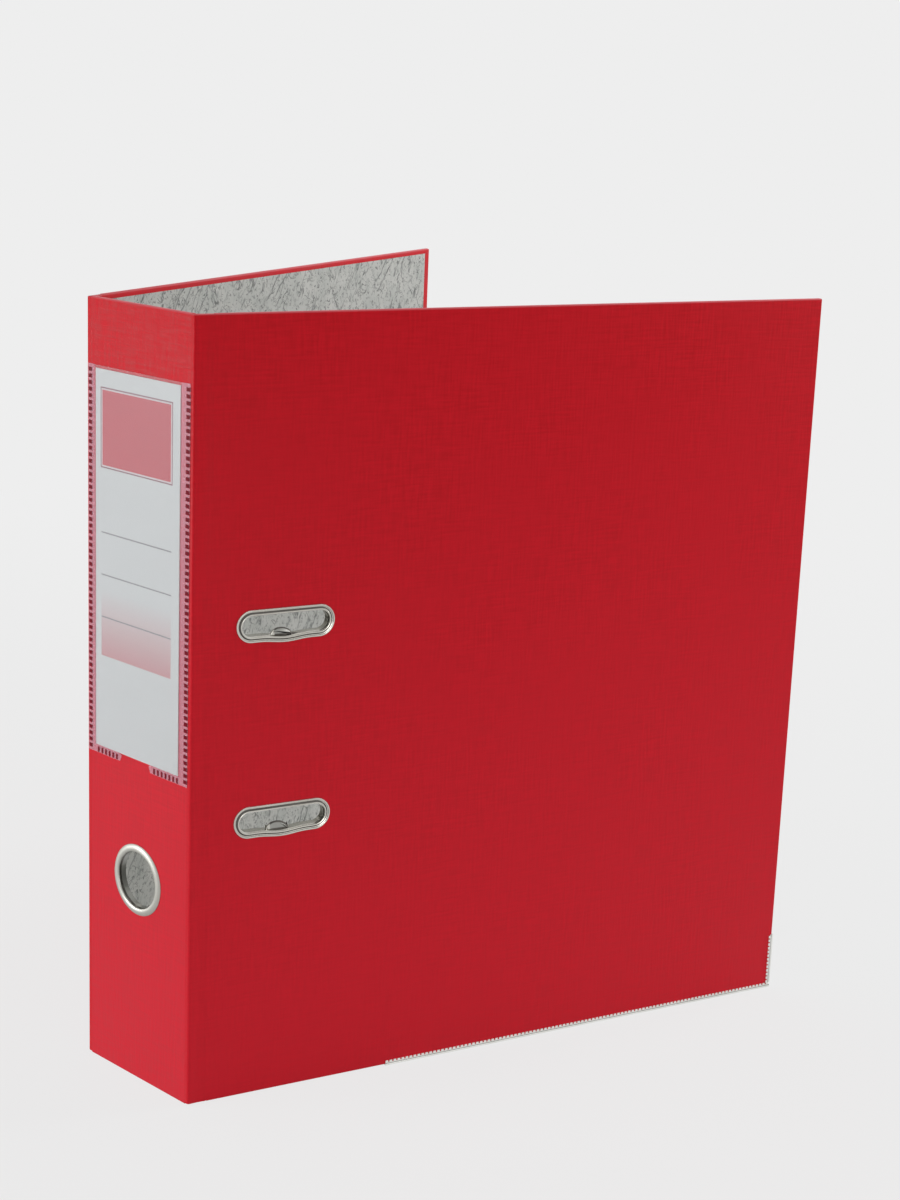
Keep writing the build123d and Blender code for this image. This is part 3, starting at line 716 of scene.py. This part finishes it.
def printed_card():
    """Smooth white card with offset print: even, slightly dull, with crisp edges."""
    material, shader = start_material("printed_card", {"Roughness": 0.55})
    place = add(material, "TexCoord", {}).outputs["Object"]
    inputs = {"Vector": place, "Location": (0, -header_shift * mm, 0)}
    middle = add(material, "Mapping", inputs).outputs[0]
    split = add(material, "SeparateXYZ", {"Vector": middle}).outputs
    across = combine(material, "ABSOLUTE", split["Y"], 0.0)
    height = split["Z"]
    crisp = 0.12 * mm

    def block(side, foot, top):
        """1 inside an upright rectangle in the middle of the card, and 0 outside it."""
        inside = fade(material, across, (side * mm) + crisp, (side * mm) - crisp)
        above = fade(material, height, (foot * mm) - crisp, (foot * mm) + crisp)
        below = fade(material, height, (top * mm) + crisp, (top * mm) - crisp)
        return combine(material, "MULTIPLY", inside, combine(material, "MULTIPLY", above, below))

    inputs = {"Vector": place, "Scale": 1 / (0.4 * mm), "Detail": 3}
    fibre = add(material, "TexNoise", inputs).outputs[0]
    tone = mix(material, fibre, colour("d1dad9"), colour("d9e1e0"))
    fading = fade(material, height, band_foot * mm, band_top * mm, band_ink, 0.0)
    band = combine(material, "MULTIPLY", block(ruled_side, band_foot, band_top), fading)
    tone = mix(material, band, tone, colour("c4283c"))
    for line in ruled_heights:
        rule = block(ruled_side, line - ruled_width / 2, line + ruled_width / 2)
        tone = mix(material, rule, tone, colour("8f9496"))
    for margin, ink in ((0, "84505e"), (0.5, "dcd8d9"), (1.1, "c42c3e")):
        panel = block(header_side - margin, header_foot + margin, header_top - margin)
        tone = mix(material, panel, tone, colour(ink))
    feed(material, shader, {"Base Color": tone})
    return material


dress(frame["nodes"]["spine_label"], printed_card())

# ---- Slot rims ---------------------------------------------------------------------------
# Two nickel plated rims line the slots of the front cover, pressed in two steps and closed over
# a flat plate inside. A nose at the foot of each catches the arch when the file is shut.
slot_along, slot_length, slot_width = 38.1, 36.6, 8.0
slot_heights = {"upper": 197.2, "lower": 117.2}
slot_bulge, slot_bulge_half, bulge_cuts = 0.85, 11.0, 14
slot_segments, foot_slack = 48, 0.05
rim_width = 2.7
backing = 0.6
# The rim's section from its outside inwards, as steps: how far in, how far out of the cover, and
# finish. Finish 0 is bright plating, 1 painted shade, and 2 painted shade only round the slot's
# far end.
rim_steps = (
    (0.06, 0.25, 0),
    (0.2, 0.25, 0),
    (0.3, 0.05, 0),
    (0.25, -0.1, 0),
    (0.08, -0.25, 1),
    (0.3, -0.1, 0),
    (0.6, 0.52, 1),
    (0.3, 0.12, 0),
    (0.25, -0.1, 0),
    (0.2, -0.4, 0),
    (0.13, -0.7, 2),
    (0.03, -panel - backing, 0),
)
rim_sheet = 0.35
nose_width, nose_height, nose_sheet = 9.6, 3.2, 0.6
nose_step, nose_depth, nose_rim = 1.5, 1.2, 0.5
nose_lean, nose_highlight_width = radians(18), 2.9
nose_segments, nose_round = 32, 0.12 * mm


def slot_face(bm, height, margin):
    """A face with the outline of a slot, grown all round, on the cover's outer face."""
    radius = slot_width / 2 + margin
    straight = (slot_length - slot_width) / 2
    flat = Matrix.Translation((slot_along, 0, height)) @ Matrix.Rotation(pi / 2, 4, "X")
    half_step = Matrix.Rotation(pi / slot_segments, 4, "Z")
    ring = bmesh.ops.create_circle(
        bm, cap_ends=True, segments=slot_segments, radius=radius, matrix=flat @ half_step
    )
    for vert in ring["verts"]:
        across = vert.co.x - slot_along
        vert.co.x += straight * (1 if across > 0 else -1)
    foot = min(vert.co.z for vert in ring["verts"])
    foot_edges = [
        edge
        for edge in bm.edges
        if all(abs(vert.co.z - foot) < foot_slack for vert in edge.verts)
    ]
    long_edges = [edge for edge in foot_edges if edge.calc_length() > straight / 2]
    bmesh.ops.subdivide_edges(bm, edges=long_edges, cuts=bulge_cuts)
    for vert in bm.verts:
        across = (vert.co.x - slot_along) / slot_bulge_half
        if abs(across) < 1 and abs(vert.co.z - foot) < foot_slack:
            vert.co.z -= slot_bulge * (1 + cos(pi * across)) / 2
    bm.faces.ensure_lookup_table()
    return bm.faces[0]


for name, height in slot_heights.items():
    cover = covers["front"]
    bm = bmesh.new()
    face = slot_face(bm, height, rim_width)
    if face.normal.y > 0:
        face.normal_flip()
    for step, rise, finish in rim_steps:
        walls = bmesh.ops.inset_region(
            bm, faces=[face], thickness=step, depth=rise, use_boundary=True, use_even_offset=True
        )["faces"]
        for wall in walls:
            from_middle = wall.calc_center_median().x - slot_along
            at_far_end = from_middle > (slot_length - slot_width) / 2
            wall.material_index = finish if finish < 2 else int(at_far_end)
    bmesh.ops.delete(bm, geom=[face], context="FACES")
    rim = make_piece(f"slot_rim_{name}_plate", bm)
    rim.data.transform(cover.place)
    thicken(rim, rim_sheet * mm)
    finished(rim)
    dress(rim, bright_nickel, shaded_nickel)
    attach(rim, "front_cover")
    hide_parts(f"slot_rim_{name}")

    bm = bmesh.new()
    foot = (slot_along - nose_step, nose_depth, height - slot_width / 2 - slot_bulge)
    spread = Matrix.Diagonal((nose_width / 2, nose_height, 1, 1))
    lean = Matrix.Rotation(pi / 2 - nose_lean, 4, "X")
    tongue = Matrix.Translation(foot) @ lean @ spread
    bmesh.ops.create_circle(bm, cap_ends=True, segments=nose_segments, radius=1, matrix=tongue)
    bmesh.ops.bisect_plane(
        bm,
        geom=bm.verts[:] + bm.edges[:] + bm.faces[:],
        plane_co=foot,
        plane_no=(0, 0, -1),
        clear_outer=True,
    )
    # The nose is painted in light and shade: a shaded border, a half shaded face, and a painted
    # highlight on its left end.
    border = bmesh.ops.inset_region(
        bm, faces=bm.faces[:], thickness=nose_rim, depth=-nose_rim / 2, use_boundary=True
    )["faces"]
    for face in bm.faces:
        face.material_index = 1 if face in border else 2
    highlight_edge = slot_along - nose_step - nose_highlight_width
    cut_faces(bm, bm.faces[:], (highlight_edge, 0, 0), (1, 0, 0))
    for face in bm.faces:
        if face.calc_center_median().x < highlight_edge:
            face.material_index = 0
    nose = make_piece(f"slot_nose_{name}", bm, cover.place)
    thicken(nose, nose_sheet * mm)
    wear_and_sheen = nose.modifiers.new("worn_edge", "BEVEL")
    wear_and_sheen.width = nose_round
    wear_and_sheen.segments = 2
    finished(nose)
    dress(nose, bright_nickel, shaded_nickel, half_shaded_nickel)
    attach(nose, "front_cover")

    plate = softened(f"slot_plate_{name}", f"slot_backing_{name}", washer_round)
    dress(plate, bright_nickel)
    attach(plate, "front_cover")
    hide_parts(f"slot_backing_{name}")

# ---- Edge guards -------------------------------------------------------------------------
# A nickel plated strip with fine teeth is folded over the foot of each cover and a short way up
# its free edge. The covers stand on it.
guard_start, guard_end, guard_rise = 88.0, 287.1, 26.0
guard_leg, guard_sheet = 2.2, 0.3
tooth_pitch, tooth_height = 1.9, 0.8
tooth_columns, pitch_columns = 2, 3
bead_heights, bead_depth = (0.75, 0.9, 1.05), 0.08


def toothed_channel(bm, length, place):
    """A folded strip along local X: a toothed leg, the web and the other toothed leg. Each tooth
    is two columns of faces wide, and each gap one."""
    columns = pitch_columns * round(length / tooth_pitch)
    root = guard_leg - tooth_height
    outer, inner = -guard_sheet, panel + guard_sheet
    leg = Matrix.Translation((length / 2, outer, root / 2)) @ Matrix.Rotation(pi / 2, 4, "X")
    spread = Matrix.Diagonal((length, root, 1, 1))
    bmesh.ops.create_grid(bm, x_segments=columns, y_segments=1, size=0.5, matrix=leg @ spread)

    def row(height):
        """The lengthwise edges at a height."""
        level = [abs(vert.co.z - height) < weld / mm for vert in bm.verts]
        verts = {vert for vert, fits in zip(bm.verts, level) if fits}
        return [edge for edge in bm.edges if edge.verts[0] in verts and edge.verts[1] in verts]

    def extrude(edges, move):
        """Extrudes edges along a move, and gives the edges at the far side."""
        raised = bmesh.ops.extrude_edge_only(bm, edges=edges)["geom"]
        verts = [item for item in raised if isinstance(item, bmesh.types.BMVert)]
        bmesh.ops.translate(bm, vec=move, verts=verts)
        ahead = [item for item in raised if isinstance(item, bmesh.types.BMEdge)]
        return [edge for edge in ahead if all(vert in verts for vert in edge.verts)]

    across = extrude(row(0), (0, inner - outer, 0))
    extrude(across, (0, 0, root))
    for height in bead_heights:
        cut_faces(bm, bm.faces[:], (0, 0, height), (0, 0, 1))
    # The bead's band is painted in half shade.
    for face in bm.faces:
        if bead_heights[0] < face.calc_center_median().z < bead_heights[-1]:
            face.material_index = 1
    for vert in bm.verts:
        if abs(vert.co.z - bead_heights[1]) < weld / mm:
            vert.co.y += bead_depth * (1 if vert.co.y < panel / 2 else -1)

    def in_tooth(edge):
        """True for the columns of a tooth, and False for the gap after it."""
        column = (edge.verts[0].co.x + edge.verts[1].co.x) / 2 / length * columns
        return column % pitch_columns < tooth_columns

    extrude([edge for edge in row(root) if in_tooth(edge)], (0, 0, tooth_height))
    bmesh.ops.transform(bm, matrix=place, verts=bm.verts)


pale_nickel = nickel_plate("pale_nickel", "eaeae6", "dcdcd6", 0.34)
for name, cover in covers.items():
    foot_place = Matrix.Translation((guard_start, 0, 0))
    turn = Matrix(((0, 0, -1), (0, 1, 0), (1, 0, 0))).to_4x4()
    edge_place = Matrix.Translation((guard_end, 0, guard_leg)) @ turn
    bm = bmesh.new()
    toothed_channel(bm, guard_end - guard_start, foot_place)
    edge_bm = bmesh.new()
    toothed_channel(edge_bm, guard_rise - guard_leg, edge_place)
    edge_mesh = bpy.data.meshes.new("edge_strip")
    edge_bm.to_mesh(edge_mesh)
    edge_bm.free()
    bm.from_mesh(edge_mesh)
    bpy.data.meshes.remove(edge_mesh)
    bmesh.ops.recalc_face_normals(bm, faces=bm.faces)
    guard = make_piece(f"{name}_guard_strip", bm, cover.place)
    thicken(guard, guard_sheet * mm)
    finished(guard)
    dress(guard, pale_nickel, half_shaded_nickel)
    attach(guard, f"{name}_cover")
    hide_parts(f"{name}_edge_guard")

# ---- Mechanism: base plate, lever, arches and hold-down bar ------------------------------
# Pressed and bent steel on the inside of the back cover, plated and lightly brushed.
satin_steel = nickel_plate("satin_steel", "c4c4c0", "b2b0ab", 0.3, (1, 1, 0.05))
for name, node, body, radius in (
    ("mechanism_plate", "base_plate", "back_cover", 0.25),
    ("cover_rivets", "base_rivets", "back_cover", 0.2),
    ("paper_post_upper", "post_upper", "back_cover", 0.25),
    ("paper_post_lower", "post_lower", "back_cover", 0.25),
    ("pivot_pin", "lever_pivot_pin", "back_cover", 0.2),
    ("arch_wires", "arch_wire", "arches", 0.15),
    ("lever", "lever_arm", "lever", 0.25),
    ("roller_axle", "roller_pin", "lever", 0.2),
    ("hold_down_strip", "hold_down_bar", "hold_down_bar", 0.25),
):
    piece = softened(name, node, radius * mm)
    dress(piece, satin_steel)
    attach(piece, body)
    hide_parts(node)


def moulded_plastic(name, tone):
    """Moulded polyamide: dull black with the fine grain of a spark-eroded mould."""
    material, shader = start_material(name, {"Specular IOR Level": 0.4})
    place = add(material, "TexCoord", {}).outputs["Object"]
    inputs = {"Vector": place, "Scale": 1 / (0.35 * mm), "Detail": 3}
    grain = add(material, "TexNoise", inputs).outputs[0]
    relief = add(material, "Bump", {"Height": grain, "Distance": 0.02 * mm}).outputs[0]
    rough = fade(material, grain, 0.3, 0.7, 0.42, 0.56)
    feed(material, shader, {"Roughness": rough, "Normal": relief})
    inputs = {"Vector": place, "Scale": 1 / (6 * mm), "Detail": 2}
    flow = add(material, "TexNoise", inputs).outputs[0]
    feed(material, shader, {"Base Color": mix(material, flow, colour(tone), colour("2b2b2d"))})
    return material


black_polyamide = moulded_plastic("black_polyamide", "1b1b1c")
for name, node, body, slot in (
    ("bush_upper", "bar_bush_upper", "hold_down_bar", "bush"),
    ("bush_lower", "bar_bush_lower", "hold_down_bar", "bush"),
    ("roller", "lever_roller", "roller", "roller"),
):
    piece = softened(name, node, 0.3 * mm)
    dress(piece, black_polyamide)
    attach(piece, body)
    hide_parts(node)

# ---- Stage, lights and camera ------------------------------------------------------------
# A pale table top that runs into a pale backdrop of the same tone. Large soft lights stand
# off the spine, off the front cover and off the free edges, and a weak one hangs overhead.
pale = colour("eeeeee")
floor_tone, tone_from, tone_to = 0.9, 0.3, 1.2
room_light = (0.28, 0.28, 0.285, 1)
floor_bm = bmesh.new()
bmesh.ops.create_grid(floor_bm, x_segments=1, y_segments=1, size=6)
floor = make_piece("floor", floor_bm)


def seen_directly(material):
    """1 for what the eye, a mirror or glass sees of a surface, and 0 for the light it sends."""
    rays = add(material, "LightPath", {})
    seen = rays.outputs["Is Camera Ray"]
    for kind in ("Is Glossy Ray", "Is Transmission Ray"):
        seen = combine(material, "MAXIMUM", seen, rays.outputs[kind])
    return seen


def pale_table():
    """Matt white table top. Most of what is seen is its even tone, so that the shadow is soft
    and the far edge melts into the backdrop."""
    material, shader = start_material("pale_table", {"Roughness": 0.9, "Specular IOR Level": 0.1})
    feed(material, shader, {"Base Color": colour("ececec")})
    place = add(material, "TexCoord", {}).outputs["Object"]
    away = add(material, "VectorMath", {0: place}, operation="LENGTH").outputs["Value"]
    inputs = {"Value": away, "From Min": tone_from, "From Max": tone_to, "To Min": floor_tone}
    evenness = add(material, "MapRange", inputs, interpolation_type="SMOOTHSTEP").outputs[0]
    share = combine(material, "MULTIPLY", evenness, seen_directly(material))
    glow = add(material, "Emission", {"Color": pale, "Strength": 1.0}).outputs[0]
    mixed = add(material, "MixShader", {0: share, 1: shader.outputs[0], 2: glow})
    out = material.node_tree.nodes["Material Output"]
    feed(material, out, {"Surface": mixed.outputs[0]})
    return material


dress(floor, pale_table())

world = bpy.data.worlds.new("pale_room")
bpy.context.scene.world = world
world.use_nodes = True
room = world.node_tree.nodes["Background"]
feed(world, room, {"Color": mix(world, seen_directly(world), room_light, pale)})


def soft_light(name, place, target, size, power):
    """A square studio light of a given size and power, turned to a target."""
    lamp = bpy.data.lights.new(name, "AREA")
    lamp.size = size
    lamp.energy = power
    light = bpy.data.objects.new(name, lamp)
    light.location = place
    light.rotation_euler = (Vector(target) - Vector(place)).to_track_quat("-Z", "Y").to_euler()
    bpy.context.scene.collection.objects.link(light)


soft_light("key_light", (-1.7, 1.3, 0.15), (0, 0, 0.1), 1.1, 39)
soft_light("front_light", (-0.7, -2.3, 0.3), (0.1, 0, 0.05), 1.2, 13.2)
soft_light("inside_light", (1.6, -0.55, 1.0), (0, 0.05, 0.14), 1.0, 15.5)
soft_light("top_light", (0.2, 0.3, 1.8), (0.1, 0, 0.2), 1.0, 4)

eye_place, eye_lens, eye_near = (-0.5084, -0.6587, 0.4165), 65.5, 0.01
heading, dip, tilt = 45.97, 14.22, 2.26
eye = bpy.data.objects.new("camera", bpy.data.cameras.new("camera"))
eye.data.lens = eye_lens
eye.data.clip_start = eye_near
eye.matrix_world = (
    Matrix.Translation(eye_place)
    @ Matrix.Rotation(radians(-heading), 4, "Z")
    @ Matrix.Rotation(radians(90 - dip), 4, "X")
    @ Matrix.Rotation(radians(tilt), 4, "Z")
)
bpy.context.scene.collection.objects.link(eye)
bpy.context.scene.camera = eye
bpy.context.scene.view_settings.view_transform = "Standard"
